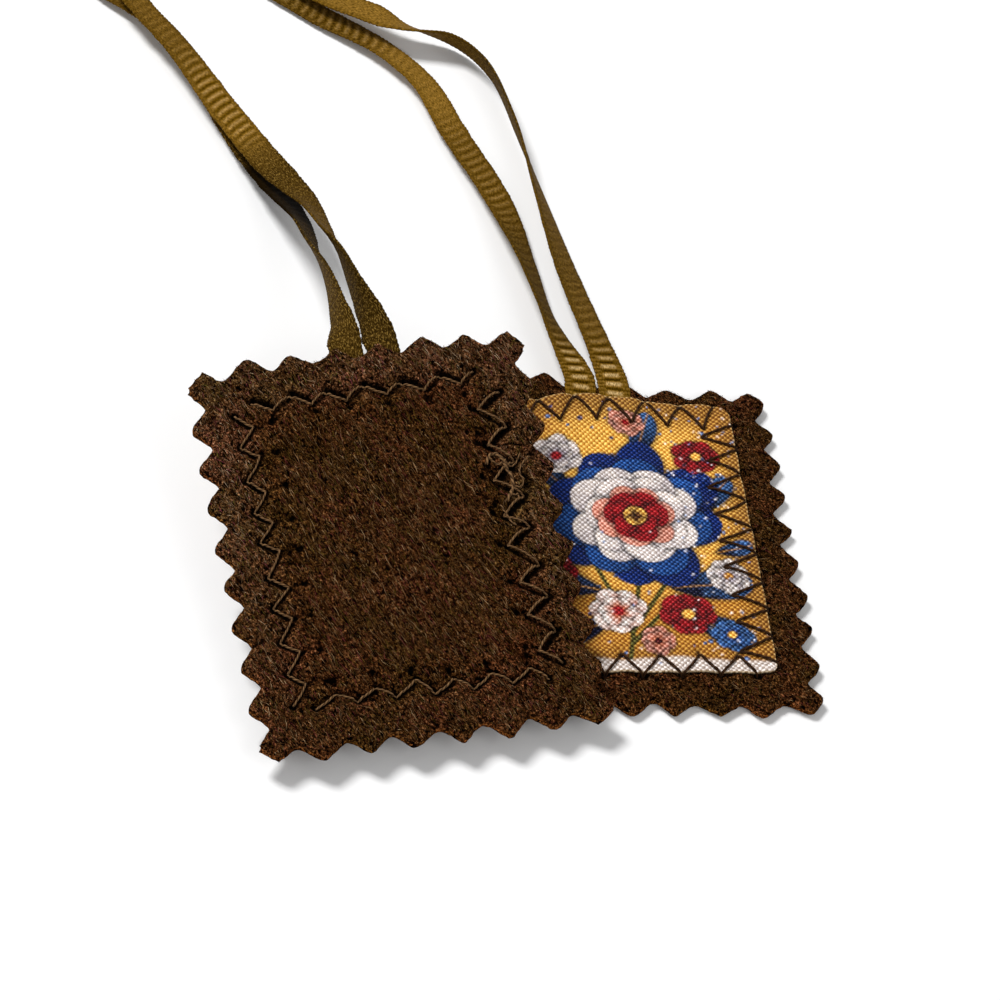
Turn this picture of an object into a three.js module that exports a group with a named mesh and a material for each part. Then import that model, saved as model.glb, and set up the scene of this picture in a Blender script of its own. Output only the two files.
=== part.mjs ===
// A small cloth scapular laid down on a flat surface: two pinked felt panels, each with a cloth patch sewn
// on its front, and two narrow ribbons that join the panels. One panel lies face up. The other lies face
// down over its left side, with its far edge still held up by the ribbons.
//
// Millimetres. +X is to the viewer's right, +Y away from the viewer and +Z up. The surface is z = 0, and
// the origin is under the middle of the two panels.
import * as THREE from "three";

// Walls and seams
const FELT_WALL = 1.2;
const PATCH_WALL = 1.0;
const RIBBON_WALL = 1.0;
const SEAM_GAP = 0.3;

// A felt panel, cut with pinking shears: whole teeth along each edge, half a tooth at each corner
const TOOTH_PITCH = 5.2;
const TOOTH_DEPTH = 2.0;
const TEETH_ACROSS = 7;
const TEETH_DOWN = 9;
const TIP_HALF_WIDTH = 0.3;
const PANEL_WIDTH = TEETH_ACROSS * TOOTH_PITCH + 2 * TOOTH_DEPTH;
const PANEL_HEIGHT = TEETH_DOWN * TOOTH_PITCH + 2 * TOOTH_DEPTH;

// The patch, measured from the panel's bottom edge
const PATCH_WIDTH = 30.2;
const PATCH_HEIGHT = 42.3;
const PATCH_BOTTOM = 5.5;
const PATCH_TOP = PATCH_BOTTOM + PATCH_HEIGHT;
const PATCH_CELLS_ACROSS = 12;
const PATCH_CELLS_DOWN = 14;

// The ribbons, and the ends that are sewn in under each patch. Seen from a panel's front, the pair is a
// little left of the middle.
const RIBBON_WIDTH = 4.0;
const RIBBON_SPACING = 4.35;
const RIBBON_PAIR_CENTRE = -1.3;
const RIBBON_TUCK = 5.0;
const RIBBON_STEP = 3.0;
// The patch rises over the ribbon ends, and comes down again over this distance past them.
const RISE_MARGIN = 2.6;
const RISE_RUN = 4.5;

// How each panel lies. x, y is the middle of its bottom edge and turn its heading, anticlockwise from +Y.
// faces is 1 face up and -1 face down. The four heights are of the middle of the felt at its corners, bow
// lifts the middle of its length, arch the middle of its top edge, and curl the top left corner alone.
const PANELS = {
  face_up: {
    x: 20.1,
    y: -17.7,
    turn: 13,
    faces: 1,
    nearLeft: FELT_WALL / 2,
    nearRight: FELT_WALL / 2,
    farLeft: FELT_WALL / 2,
    farRight: FELT_WALL / 2,
    bow: 0,
    arch: 0,
    curl: 7,
  },
  face_down: {
    x: -2.8,
    y: -29.1,
    turn: 21.9,
    faces: -1,
    nearLeft: 2.8,
    nearRight: 2.9,
    farLeft: 12.6,
    farRight: 15.1,
    bow: -1,
    arch: 1,
    curl: 0,
  },
};
const CURL_START = 0.2; // the share of the way to the corner that stays flat

// The ribbons' routes between the panels, from the panel that is face down. turn is how far the ribbon has
// turned about its own line: 0 and 180 lie flat, 90 stands on edge. Each ribbon joins the right of one
// panel's front to the left of the other's, and right says on which panel it is the right one.
const ROUTE_COLUMNS = ["x", "y", "z", "turn"];
const ROUTES = {
  ribbon_left: {
    right: PANELS.face_down,
    from: [
      [-24.2, 23.5, 13.2, 67],
      [-26.5, 30.5, 11.6, 91],
      [-28.5, 36, 9.6, 110],
      [-30, 40, 8, 124],
      [-32, 46, 5.8, 139],
      [-34.5, 51, 4, 155],
      [-37.5, 56, 2.4, 168],
      [-42.5, 63.8, 0.9, 172],
      [-50.2, 75.2, 0.9, 170],
      [-59, 85.5, 1, 166],
      [-70.5, 93.5, 0.5, 180],
    ],
    to: [
      [-50, 117, 0.5, 180],
      [-52.4, 110.5, 0.5, 180],
      [-51.6, 104, 0.5, 180],
      [-47.5, 99.5, 0.5, 180],
      [-38, 93.8, 0.5, 180],
      [-28.2, 88.6, 1, 192],
      [-21.8, 83.1, 1, 193],
      [-16.3, 74.2, 1, 187],
      [-8.8, 62, 1.6, 192],
      [-4, 51.5, 2.3, 221],
      [-0.5, 43, 2.5, 231],
      [1.6, 38.5, 2.7, 220],
    ],
  },
  ribbon_right: {
    right: PANELS.face_up,
    from: [
      [-20.2, 23.2, 13.7, 52],
      [-23, 29.5, 12.3, 82],
      [-26, 37, 10.2, 102],
      [-28.3, 42, 8.6, 128],
      [-31, 48, 6.6, 145],
      [-33, 51.5, 5.5, 162],
      [-39, 59, 3.7, 190],
      [-45.8, 68.2, 2.4, 184],
      [-54.4, 79.2, 2.4, 168],
      [-62.9, 88.6, 2.4, 166],
      [-67.5, 98, 1.9, 180],
    ],
    to: [
      [-45.5, 115.5, 0.6, 180],
      [-46.8, 108.5, 1, 180],
      [-46.2, 102.5, 1.9, 180],
      [-38.5, 96.5, 2.2, 180],
      [-30.5, 93, 3, 178],
      [-26.5, 91.8, 2.8, 204],
      [-19, 91.3, 2.4, 243],
      [-13.7, 86.9, 2.4, 252],
      [-8.5, 76.5, 2.3, 256],
      [-3.5, 63.5, 2.3, 235],
      [2, 49.5, 2.1, 211],
      [7.1, 38, 2.3, 201],
    ],
  },
};
// Where the two lie side by side, the middle of the pair follows one loop. apart is 1 where the left
// ribbon is outside the right one and -1 where it is inside, and over is how high the right one is lifted
// where it crosses the left one.
const LOOP_COLUMNS = ["x", "y", "apart", "over"];
const LOOP = [
  [-76.5, 104, 1, 0],
  [-81, 117, 1, 0],
  [-82.5, 132, 1, 0],
  [-80.5, 148, 1, 0],
  [-75.5, 163, 1, 1.4],
  [-66.5, 176, 0, 1.4],
  [-54, 181, -1, 1.4],
  [-43.5, 174, -1, 0],
  [-38, 160, -1, 0],
  [-38, 144.5, -1, 0],
  [-42, 129, -1, 0],
];
const LOOP_SPACING = 4.8;
const LOOP_HEIGHT = RIBBON_WALL / 2;

const MATERIALS = {
  felt: new THREE.MeshStandardMaterial({ color: 0x3b2a20, roughness: 1, metalness: 0 }),
  patch: new THREE.MeshStandardMaterial({ color: 0xc99a45, roughness: 0.85, metalness: 0 }),
  ribbon: new THREE.MeshStandardMaterial({ color: 0x6a5022, roughness: 0.7, metalness: 0 }),
};

const radians = THREE.MathUtils.degToRad;

// The rows of a table as objects, by its columns' names.
const named = (columns, rows) =>
  rows.map((row) => Object.fromEntries(columns.map((column, i) => [column, row[i]])));

// A flat pattern piece: points (u, v), and triangles that run anticlockwise.
class Pattern {
  points = [];
  triangles = [];
  #known = new Map();

  point(u, v) {
    const key = `${u.toFixed(3)},${v.toFixed(3)}`;
    if (!this.#known.has(key)) {
      this.#known.set(key, this.points.length);
      this.points.push([u, v]);
    }
    return this.#known.get(key);
  }

  triangle(...corners) {
    const [a, b, c] = corners;
    const area = (b[0] - a[0]) * (c[1] - a[1]) - (c[0] - a[0]) * (b[1] - a[1]);
    const ordered = area > 0 ? [a, b, c] : [a, c, b];
    this.triangles.push(ordered.map(([u, v]) => this.point(u, v)));
  }

  grid(us, vs) {
    for (let i = 1; i < us.length; i++)
      for (let j = 1; j < vs.length; j++) {
        this.triangle([us[i - 1], vs[j - 1]], [us[i], vs[j - 1]], [us[i], vs[j]]);
        this.triangle([us[i - 1], vs[j - 1]], [us[i], vs[j]], [us[i - 1], vs[j]]);
      }
  }

  // The edges that only one triangle has, each with the cloth on its left.
  rim() {
    const edges = new Map();
    for (const t of this.triangles)
      for (let k = 0; k < 3; k++) edges.set(`${t[k]},${t[(k + 1) % 3]}`, [t[k], t[(k + 1) % 3]]);
    return [...edges.values()].filter(([a, b]) => !edges.has(`${b},${a}`));
  }
}

// The closed wall of a pattern piece. place(u, v, w) puts its points in space, and low(u, v) and
// high(u, v) say how far from its middle the two faces are.
function wallOf(pattern, place, low, high) {
  const count = pattern.points.length;
  const faces = [low, high].map((height) => pattern.points.map(([u, v]) => place(u, v, height(u, v))));
  const positions = faces.flat().flatMap((p) => [p.x, p.y, p.z]);
  const index = [];
  for (const [a, b, c] of pattern.triangles) {
    index.push(a, c, b);
    index.push(a + count, b + count, c + count);
  }
  for (const [a, b] of pattern.rim()) index.push(a, b, b + count, a, b + count, a + count);
  return new THREE.BufferGeometry()
    .setAttribute("position", new THREE.Float32BufferAttribute(positions, 3))
    .setIndex(index);
}

const evenly = (from, to, cells) =>
  Array.from({ length: cells + 1 }, (_, i) => from + ((to - from) * i) / cells);

// The pinked outline, tooth by tooth, round a grid of half-tooth cells.
function pinkedPattern() {
  const pattern = new Pattern();
  const left = -PANEL_WIDTH / 2 + TOOTH_DEPTH;
  const bottom = TOOTH_DEPTH;
  const us = evenly(left, -left, 2 * TEETH_ACROSS);
  const vs = evenly(bottom, PANEL_HEIGHT - bottom, 2 * TEETH_DOWN);
  pattern.grid(us, vs);
  // Teeth stand on lines[0], lines[2] and so on. at(along, out) is a point of that edge.
  const edge = (lines, at) => {
    for (let i = 0; i < lines.length; i += 2) {
      const isFirst = i === 0;
      const isLast = i === lines.length - 1;
      const middle = at(lines[i], 0);
      if (isFirst || isLast) {
        const valley = at(lines[isFirst ? i + 1 : i - 1], 0);
        pattern.triangle(middle, valley, at(lines[i], TOOTH_DEPTH));
        continue;
      }
      const [tipStart, tipEnd] = [-1, 1].map((side) => at(lines[i] + side * TIP_HALF_WIDTH, TOOTH_DEPTH));
      pattern.triangle(at(lines[i - 1], 0), middle, tipStart);
      pattern.triangle(middle, tipEnd, tipStart);
      pattern.triangle(middle, at(lines[i + 1], 0), tipEnd);
    }
  };
  edge(us, (u, out) => [u, bottom - out]);
  edge(us, (u, out) => [u, PANEL_HEIGHT - bottom + out]);
  edge(vs, (v, out) => [left - out, v]);
  edge(vs, (v, out) => [-left + out, v]);
  for (const u of [left, -left])
    for (const v of [bottom, PANEL_HEIGHT - bottom]) {
      const outU = u + Math.sign(u) * TOOTH_DEPTH;
      const outV = v === bottom ? v - TOOTH_DEPTH : v + TOOTH_DEPTH;
      pattern.triangle([u, v], [outU, v], [u, outV]);
    }
  return pattern;
}

// The height of the middle of a panel's felt. across runs to the viewer's right.
function panelHeight(panel, across, v) {
  const s = v / PANEL_HEIGHT;
  const t = across / PANEL_WIDTH + 0.5;
  const near = THREE.MathUtils.lerp(panel.nearLeft, panel.nearRight, t);
  const far = THREE.MathUtils.lerp(panel.farLeft, panel.farRight, t);
  const bow = panel.bow * 4 * s * (1 - s);
  const arch = panel.arch * 4 * t * (1 - t) * s * s;
  const curl = panel.curl * (Math.max(0, s * (1 - t) - CURL_START) / (1 - CURL_START)) ** 2;
  return THREE.MathUtils.lerp(near, far, s) + bow + arch + curl;
}

// A point of a panel, seen from its front: u to the right, v up from its bottom edge, w out of its front.
function panelPoint(panel, u, v, w) {
  const rise = (panel.farLeft + panel.farRight - panel.nearLeft - panel.nearRight) / 2;
  const along = v * Math.cos(Math.asin(rise / PANEL_HEIGHT));
  const across = panel.faces * u;
  return new THREE.Vector3(across, along, panelHeight(panel, across, v) + panel.faces * w)
    .applyAxisAngle(new THREE.Vector3(0, 0, 1), radians(panel.turn))
    .add(new THREE.Vector3(panel.x, panel.y, 0));
}

function feltGeometry(panel) {
  return wallOf(
    pinkedPattern(),
    (u, v, w) => panelPoint(panel, u, v, w),
    () => -FELT_WALL / 2,
    () => FELT_WALL / 2,
  );
}

// How far the patch rises over the ribbon ends under its top edge: 0 clear of them, 1 over them.
function riseOver(u, v) {
  const halfPair = (RIBBON_SPACING + RIBBON_WIDTH) / 2 + RISE_MARGIN;
  const pastPair = Math.abs(u - RIBBON_PAIR_CENTRE) - halfPair;
  const belowEnds = PATCH_TOP - RIBBON_TUCK - RISE_MARGIN - v;
  return (
    (1 - THREE.MathUtils.smoothstep(pastPair, 0, RISE_RUN)) *
    (1 - THREE.MathUtils.smoothstep(belowEnds, 0, RISE_RUN))
  );
}

function patchGeometry(panel) {
  const pattern = new Pattern();
  pattern.grid(
    evenly(-PATCH_WIDTH / 2, PATCH_WIDTH / 2, PATCH_CELLS_ACROSS),
    evenly(PATCH_BOTTOM, PATCH_TOP, PATCH_CELLS_DOWN),
  );
  const under = (u, v) => FELT_WALL / 2 + SEAM_GAP + riseOver(u, v) * (RIBBON_WALL + SEAM_GAP);
  return wallOf(
    pattern,
    (u, v, w) => panelPoint(panel, u, v, w),
    under,
    (u, v) => under(u, v) + PATCH_WALL,
  );
}

// The rows of a ribbon's route where it lies on a panel, from its sewn end out past the top edge.
// order is 1 where the route leaves the panel and -1 where it comes to it.
function rowsOnPanel(panel, u, order) {
  const w = FELT_WALL / 2 + SEAM_GAP + RIBBON_WALL / 2;
  const across = panel.faces * u;
  const slope = panelHeight(panel, across + 1, PATCH_TOP) - panelHeight(panel, across - 1, PATCH_TOP);
  const lean = THREE.MathUtils.radToDeg(Math.atan(slope / 2));
  const rows = [PATCH_TOP - RIBBON_TUCK, PATCH_TOP, PANEL_HEIGHT].map((v) => {
    const p = panelPoint(panel, u, v, w);
    return { x: p.x, y: p.y, z: p.z, turn: order > 0 ? lean : 180 - lean };
  });
  return order > 0 ? rows : rows.reverse();
}

// The loop's rows for one ribbon of the pair, beside its middle line.
function loopRows(isLeft) {
  const loop = named(LOOP_COLUMNS, LOOP);
  const middle = new THREE.CatmullRomCurve3(loop.map(({ x, y }) => new THREE.Vector3(x, y, 0)));
  return loop.map(({ x, y, apart, over }, i) => {
    const heading = middle.getTangent(i / (loop.length - 1));
    const offset = ((isLeft ? apart : -apart) * LOOP_SPACING) / 2;
    const z = LOOP_HEIGHT + (isLeft ? 0 : over);
    return { x: x - heading.y * offset, y: y + heading.x * offset, z, turn: 180 };
  });
}

function ribbonGeometry(route) {
  const placeOn = (panel) =>
    RIBBON_PAIR_CENTRE + ((route.right === panel ? 1 : -1) * RIBBON_SPACING) / 2;
  const rows = [
    ...rowsOnPanel(PANELS.face_down, placeOn(PANELS.face_down), 1),
    ...named(ROUTE_COLUMNS, route.from),
    ...loopRows(route.right === PANELS.face_down),
    ...named(ROUTE_COLUMNS, route.to),
    ...rowsOnPanel(PANELS.face_up, placeOn(PANELS.face_up), -1),
  ];
  const line = new THREE.CatmullRomCurve3(rows.map((r) => new THREE.Vector3(r.x, r.y, r.z)));
  const turns = new THREE.CatmullRomCurve3(rows.map((r, i) => new THREE.Vector3(i, r.turn, 0)));
  const steps = Math.round(line.getLength() / RIBBON_STEP);
  const place = (across, step, w) => {
    const t = line.getUtoTmapping(step / steps);
    const middle = line.getPoint(t);
    middle.z = Math.max(middle.z, RIBBON_WALL / 2);
    const tangent = line.getTangent(t);
    const turn = radians(turns.getPoint(t).y);
    const flat = new THREE.Vector3().crossVectors(tangent, new THREE.Vector3(0, 0, 1)).normalize();
    const edgewise = flat.clone().applyAxisAngle(tangent, -turn);
    const outward = new THREE.Vector3().crossVectors(edgewise, tangent);
    return middle.addScaledVector(edgewise, across).addScaledVector(outward, w);
  };
  const pattern = new Pattern();
  pattern.grid([-RIBBON_WIDTH / 2, RIBBON_WIDTH / 2], evenly(0, steps, steps));
  return wallOf(
    pattern,
    place,
    () => -RIBBON_WALL / 2,
    () => RIBBON_WALL / 2,
  );
}

const scapular = new THREE.Group();

function addPiece(name, geometry, material) {
  const mesh = new THREE.Mesh(geometry, material.clone());
  mesh.name = name;
  scapular.add(mesh);
}

for (const [side, panel] of Object.entries(PANELS)) {
  addPiece(`felt_${side}`, feltGeometry(panel), MATERIALS.felt);
  addPiece(`patch_${side}`, patchGeometry(panel), MATERIALS.patch);
}
for (const [name, route] of Object.entries(ROUTES)) addPiece(name, ribbonGeometry(route), MATERIALS.ribbon);

export default scapular;
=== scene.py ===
"""The looks of a small cloth scapular laid flat: two pinked felt panels, each with a printed patch sewn on
its front, and two ribbons that join them.

Sizes are millimetres until mesh_object() turns them into metres. A panel's own axes, seen from its front,
are u to the right, v up from its bottom edge and w out of its front.
"""
import math
import bpy
import numpy as np
from mathutils import Matrix, Vector


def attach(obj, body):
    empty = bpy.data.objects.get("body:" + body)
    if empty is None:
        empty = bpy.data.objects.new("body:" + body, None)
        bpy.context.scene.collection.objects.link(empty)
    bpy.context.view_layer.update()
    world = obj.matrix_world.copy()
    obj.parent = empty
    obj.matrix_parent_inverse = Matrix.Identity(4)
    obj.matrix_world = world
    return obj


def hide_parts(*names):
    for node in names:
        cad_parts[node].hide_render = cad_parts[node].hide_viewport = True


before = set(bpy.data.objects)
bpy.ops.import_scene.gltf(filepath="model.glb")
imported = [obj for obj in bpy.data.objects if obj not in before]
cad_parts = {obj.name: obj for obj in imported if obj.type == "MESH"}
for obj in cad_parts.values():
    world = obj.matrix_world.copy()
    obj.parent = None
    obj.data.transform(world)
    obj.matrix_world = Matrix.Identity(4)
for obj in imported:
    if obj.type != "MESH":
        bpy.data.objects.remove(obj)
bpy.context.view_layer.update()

MM = 0.001
TAU = 2 * math.pi

# Walls of the solids
FELT_WALL = 1.2
RIBBON_WALL = 1.0

# A felt panel, cut with pinking shears
TOOTH_PITCH = 5.2
TOOTH_DEPTH = 2.0
TEETH_ACROSS = 7
TEETH_DOWN = 9
TIP_HALF_WIDTH = 0.3
PANEL_WIDTH = TEETH_ACROSS * TOOTH_PITCH + 2 * TOOTH_DEPTH
PANEL_HEIGHT = TEETH_DOWN * TOOTH_PITCH + 2 * TOOTH_DEPTH

# The patch, measured from the panel's bottom edge
PATCH_WIDTH = 30.2
PATCH_HEIGHT = 42.3
PATCH_BOTTOM = 5.5
PATCH_TOP = PATCH_BOTTOM + PATCH_HEIGHT
PATCH_CLOTH = 0.3
PATCH_LIFT = 0.27  # from the felt to the middle of the patch's cloth
RIBBON_ROOM = 0.12
WEAVE_PITCH = 0.345

# The ribbons and their sewn ends
RIBBON_WIDTH = 4.0
RIBBON_CLOTH = 0.35
RIBBON_SPACING = 4.35
RIBBON_PAIR_CENTRE = -1.3
RIBBON_TUCK = 5.0
RISE_MARGIN = 0.5
RISE_RUN = 3.0

# How each panel lies, as in the solids
PANELS = {
    "face_up": dict(x=20.1, y=-17.7, turn=13, faces=1, near_left=0.6, near_right=0.6,
                    far_left=0.6, far_right=0.6, bow=0, arch=0, curl=7),
    "face_down": dict(x=-2.8, y=-29.1, turn=21.9, faces=-1, near_left=2.8, near_right=2.9,
                      far_left=12.6, far_right=15.1, bow=-1, arch=1, curl=0),
}
CURL_START = 0.2
FLOOR_CLEAR = 0.01  # nothing lies lower than this

# What differs between the panels' looks: seeds, how finely the felt and the patch are divided, and the nap's
# fibres on front and back, their heading in degrees, how far they stray from it and the share of long ones
SEEDS = {
    "face_up": dict(pattern=21, shape=3, nap=77, front=5, back=6),
    "face_down": dict(pattern=34, shape=13, nap=78, front=8, back=9),
}
LOOKS = {
    "face_up": dict(parts=6, cell=0.2, fibres=(18000, 1800), lay=-50, stray=1.0, long=0.04),
    "face_down": dict(parts=12, cell=0.4, fibres=(1600, 31400), lay=-111, stray=0.2, long=0.22),
}

# The ribbons' routes between the panels, as in the solids: x, y, z and how far the ribbon has turned
ROUTES = {
    "ribbon_left": dict(
        right="face_down",
        start=[
            (-24.2, 23.5, 13.2, 67), (-26.5, 30.5, 11.6, 91), (-28.5, 36, 9.6, 110), (-30, 40, 8, 124),
            (-32, 46, 5.8, 139), (-34.5, 51, 4, 155), (-37.5, 56, 2.4, 168), (-42.5, 63.8, 0.9, 172),
            (-50.2, 75.2, 0.9, 170), (-59, 85.5, 1, 166), (-70.5, 93.5, 0.5, 180),
        ],
        end=[
            (-50, 117, 0.5, 180), (-52.4, 110.5, 0.5, 180), (-51.6, 104, 0.5, 180),
            (-47.5, 99.5, 0.5, 180), (-38, 93.8, 0.5, 180), (-28.2, 88.6, 1, 192),
            (-21.8, 83.1, 1, 193), (-16.3, 74.2, 1, 187), (-8.8, 62, 1.6, 192), (-4, 51.5, 2.3, 221),
            (-0.5, 43, 2.5, 231), (1.6, 38.5, 2.7, 220),
        ],
    ),
    "ribbon_right": dict(
        right="face_up",
        start=[
            (-20.2, 23.2, 13.7, 52), (-23, 29.5, 12.3, 82), (-26, 37, 10.2, 102),
            (-28.3, 42, 8.6, 128), (-31, 48, 6.6, 145), (-33, 51.5, 5.5, 162), (-39, 59, 3.7, 190),
            (-45.8, 68.2, 2.4, 184), (-54.4, 79.2, 2.4, 168), (-62.9, 88.6, 2.4, 166),
            (-67.5, 98, 1.9, 180),
        ],
        end=[
            (-45.5, 115.5, 0.6, 180), (-46.8, 108.5, 1, 180), (-46.2, 102.5, 1.9, 180),
            (-38.5, 96.5, 2.2, 180), (-30.5, 93, 3, 178), (-26.5, 91.8, 2.8, 204),
            (-19, 91.3, 2.4, 243), (-13.7, 86.9, 2.4, 252), (-8.5, 76.5, 2.3, 256),
            (-3.5, 63.5, 2.3, 235), (2, 49.5, 2.1, 211), (7.1, 38, 2.3, 201),
        ],
    ),
}
# The loop that the pair follows past the view: x, y, 1 where the left one is outside, the right one's lift
LOOP = [
    (-76.5, 104, 1, 0), (-81, 117, 1, 0), (-82.5, 132, 1, 0), (-80.5, 148, 1, 0), (-75.5, 163, 1, 1.4),
    (-66.5, 176, 0, 1.4), (-54, 181, -1, 1.4), (-43.5, 174, -1, 0), (-38, 160, -1, 0),
    (-38, 144.5, -1, 0), (-42, 129, -1, 0),
]
LOOP_SPACING = 4.8

# The camera, at the photograph's angle
CAMERA_AIM = (-1.4, 11.1, 0.0)
CAMERA_ELEVATION = 0.817
CAMERA_ROLL = 0.184
CAMERA_DISTANCE = 380.75
CAMERA_LENS = 115.2

# The floor and the lights, in metres: name, place, width and power
FLOOR_HALF = 3
FLOOR_DROP = 0.0002
LIGHTS = [
    ("key_light", (-0.55, 0.35, 0.9), 0.35, 10.5),
    ("fill_light", (0.7, -0.5, 0.8), 0.7, 2.2),
    ("front_light", (-0.1, -0.9, 0.6), 0.6, 2.0),
]
LIGHTS_AIM = (0, 0.01, 0)
SKY_STRENGTH = 0.28


def smoothstep(x, start, end):
    t = np.clip((x - start) / (end - start), 0, 1)
    return t * t * (3 - 2 * t)


def mix(a, b, t):
    return a + (b - a) * t


def waves(x, y, wavelength, seed, count=7):
    """Soft noise of about -1 to 1: a few plane waves of nearly the same length in random directions."""
    rng = np.random.default_rng(seed)
    total = np.zeros(np.broadcast(x, y).shape)
    for _ in range(count):
        angle, phase = rng.uniform(0, TAU, 2)
        length = wavelength * rng.uniform(0.75, 1.35)
        total += np.sin(TAU * (x * math.cos(angle) + y * math.sin(angle)) / length + phase)
    return total / math.sqrt(2 * count)


# Meshes

def mesh_object(name, points, faces, material, colours, uv=None):
    """A smooth mesh that rides on the part. points are in mm, and colours is a dict of (n, 3) arrays, or of
    (n,) arrays of greys."""
    points = np.array(points)
    points[:, 2] = np.maximum(points[:, 2], FLOOR_CLEAR)
    mesh = bpy.data.meshes.new(name)
    mesh.from_pydata((points * MM).tolist(), [], faces.tolist())
    mesh.polygons.foreach_set("use_smooth", np.ones(len(mesh.polygons), bool))
    if uv is not None:
        corners = np.empty(len(mesh.loops), int)
        mesh.loops.foreach_get("vertex_index", corners)
        mesh.uv_layers.new(name="flat").data.foreach_set("uv", uv[corners].ravel())
    for key, values in colours.items():
        rgba = np.ones((len(points), 4), np.float32)
        rgba[:, :3] = values if values.ndim == 2 else values[:, None]
        mesh.color_attributes.new(key, "FLOAT_COLOR", "POINT").data.foreach_set("color", rgba.ravel())
    mesh.materials.append(material)
    mesh.update()
    piece = bpy.data.objects.new(name, mesh)
    bpy.context.scene.collection.objects.link(piece)
    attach(piece, "root")
    return piece


def grid_faces(rows, columns, closed=False):
    """Quads of a grid of points that is stored row by row; closed joins its last column to its first."""
    i, j = np.meshgrid(np.arange(rows - 1), np.arange(columns if closed else columns - 1), indexing="ij")
    k = (j + 1) % columns
    a, b = i * columns + j, i * columns + k
    return np.stack([a, b, b + columns, a + columns], -1).reshape(-1, 4)


def sheet_faces(rows, columns):
    """A closed sheet of two such grids: the points of its back come first, then those of its front."""
    front = grid_faces(rows, columns)
    rim = np.concatenate([np.arange(columns), np.arange(1, rows) * columns + columns - 1,
                          (rows - 1) * columns + np.arange(columns - 1)[::-1],
                          np.arange(1, rows - 1)[::-1] * columns])
    after, count = np.roll(rim, -1), rows * columns
    wall = np.stack([rim, after, after + count, rim + count], -1)
    return np.concatenate([front[:, ::-1], front + count, wall])


def unit(vectors):
    return vectors / np.linalg.norm(vectors, axis=-1, keepdims=True)


def run_along(line):
    """How far along the line each of its points is."""
    return np.r_[0, np.cumsum(np.linalg.norm(np.diff(line, axis=0), axis=1))]


# Panels

def panel_height(panel, across, v):
    s = v / PANEL_HEIGHT
    t = across / PANEL_WIDTH + 0.5
    near = mix(panel["near_left"], panel["near_right"], t)
    far = mix(panel["far_left"], panel["far_right"], t)
    bow = panel["bow"] * 4 * s * (1 - s)
    arch = panel["arch"] * 4 * t * (1 - t) * s * s
    curl = panel["curl"] * (np.maximum(0, s * (1 - t) - CURL_START) / (1 - CURL_START)) ** 2
    return mix(near, far, s) + bow + arch + curl


def panel_points(panel, u, v, w):
    rise = (panel["far_left"] + panel["far_right"] - panel["near_left"] - panel["near_right"]) / 2
    along = v * math.cos(math.asin(rise / PANEL_HEIGHT))
    across = panel["faces"] * u
    z = panel_height(panel, across, v) + panel["faces"] * w
    c, s = math.cos(math.radians(panel["turn"])), math.sin(math.radians(panel["turn"]))
    return np.stack([c * across - s * along + panel["x"], s * across + c * along + panel["y"], z], -1)


# Ribbon routes

def curve_points(rows, t):
    """Points of the centripetal Catmull-Rom curve through rows, at the parameters t from 0 to 1."""
    rows = np.asarray(rows, float)
    padded = np.vstack([2 * rows[0] - rows[1], rows, 2 * rows[-1] - rows[-2]])
    place = np.asarray(t) * (len(rows) - 1)
    i = np.clip(np.floor(place).astype(int), 0, len(rows) - 2)
    f = (place - i)[:, None]
    p0, p1, p2, p3 = (padded[i + k] for k in range(4))
    steps = [np.sqrt(np.linalg.norm(b - a, axis=1))[:, None] for a, b in ((p0, p1), (p1, p2), (p2, p3))]
    d0, d1, d2 = (np.maximum(step, 1e-4) for step in steps)
    t1 = ((p1 - p0) / d0 - (p2 - p0) / (d0 + d1) + (p2 - p1) / d1) * d1
    t2 = ((p2 - p1) / d1 - (p3 - p1) / (d1 + d2) + (p3 - p2) / d2) * d1
    return p1 + t1 * f + (3 * (p2 - p1) - 2 * t1 - t2) * f**2 + (2 * (p1 - p2) + t1 + t2) * f**3


def rows_on_panel(panel, u, is_start):
    w = FELT_WALL / 2 + RIBBON_CLOTH / 2 + 0.1
    across = panel["faces"] * u
    slope = panel_height(panel, across + 1, PATCH_TOP) - panel_height(panel, across - 1, PATCH_TOP)
    lean = math.degrees(math.atan(slope / 2))
    turn = lean if is_start else 180 - lean
    heights = (PATCH_TOP - RIBBON_TUCK, PATCH_TOP, PANEL_HEIGHT)
    rows = [(*panel_points(panel, u, v, w), turn) for v in heights]
    return rows if is_start else rows[::-1]


def loop_rows(is_left):
    middle = np.array([row[:2] for row in LOOP], float)
    t = np.linspace(0, 1, len(LOOP))
    ahead = curve_points(middle, np.minimum(t + 1e-4, 1))
    behind = curve_points(middle, np.maximum(t - 1e-4, 0))
    rows = []
    for (x, y, apart, over), (hx, hy) in zip(LOOP, unit(ahead - behind)):
        offset = (apart if is_left else -apart) * LOOP_SPACING / 2
        z = RIBBON_WALL / 2 + (0 if is_left else over)
        rows.append((x - hy * offset, y + hx * offset, z, 180))
    return rows


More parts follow.
